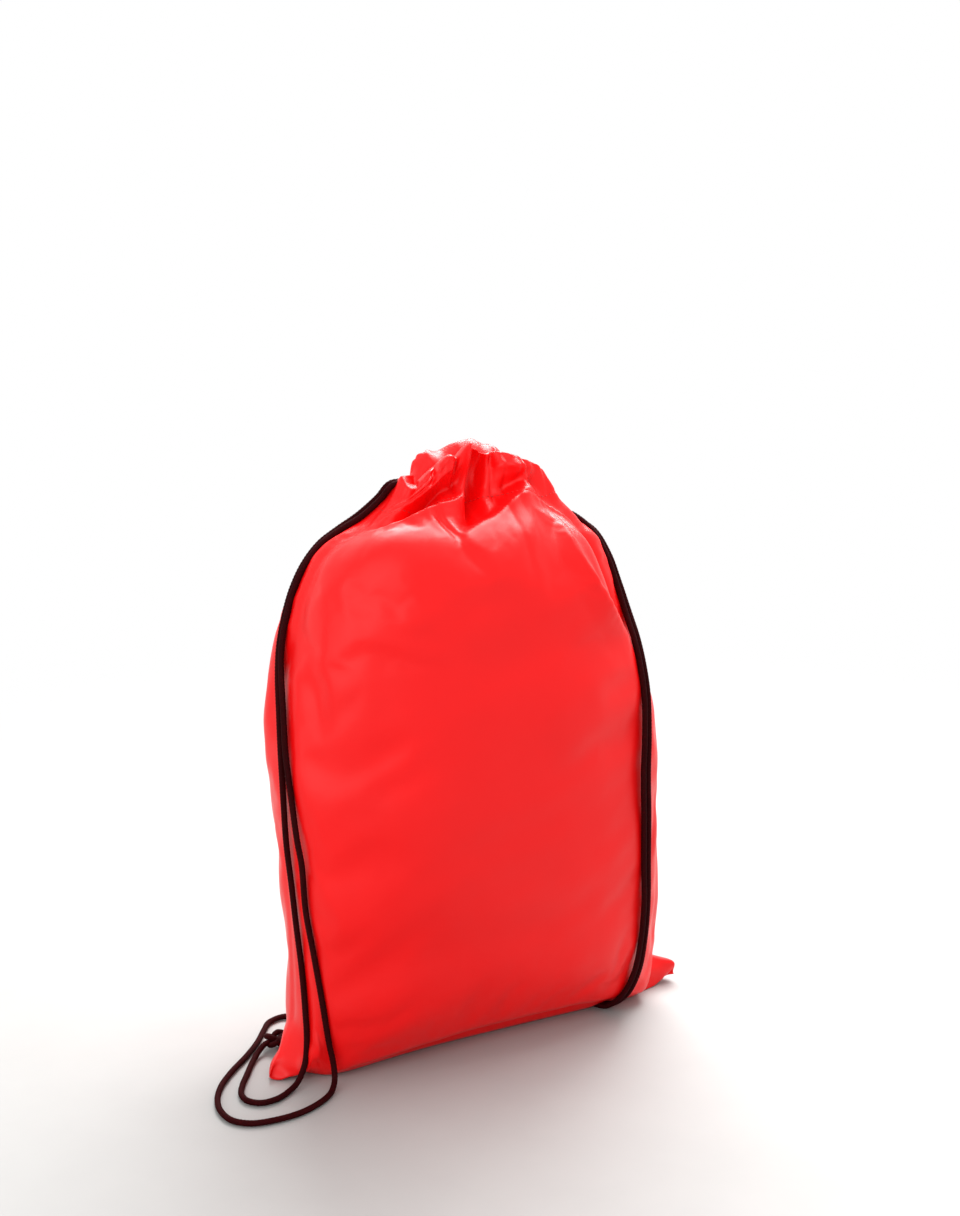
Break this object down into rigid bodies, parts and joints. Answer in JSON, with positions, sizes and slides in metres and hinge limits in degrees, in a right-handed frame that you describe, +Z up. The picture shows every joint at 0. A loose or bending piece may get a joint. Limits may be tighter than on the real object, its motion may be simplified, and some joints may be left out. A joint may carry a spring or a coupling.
{
  "type": "drawstring sports bag",
  "caption": "Stuffed drawstring gym bag of thin satin fabric, mouth drawn shut in folds, braided cords running down both sides to knots at the bottom corners.",
  "frame": {"origin": "middle of the base on the floor, under the middle of the bag's box", "axes": "+Z up, front panel towards -Y, side seams at -X and +X"},
  "size_m": [0.3499, 0.1504, 0.3904],
  "materials": {
    "polyester": "bright red satin weave",
    "braid": "dark maroon matt braid"
  },
  "bodies": {
    "root": {"pouch": "polyester", "left_cord_back": "braid", "left_cord_front": "braid", "right_cord_front": "braid", "right_cord_back": "braid", "left_knot": "braid", "right_knot": "braid"}
  },
  "joints": []
}
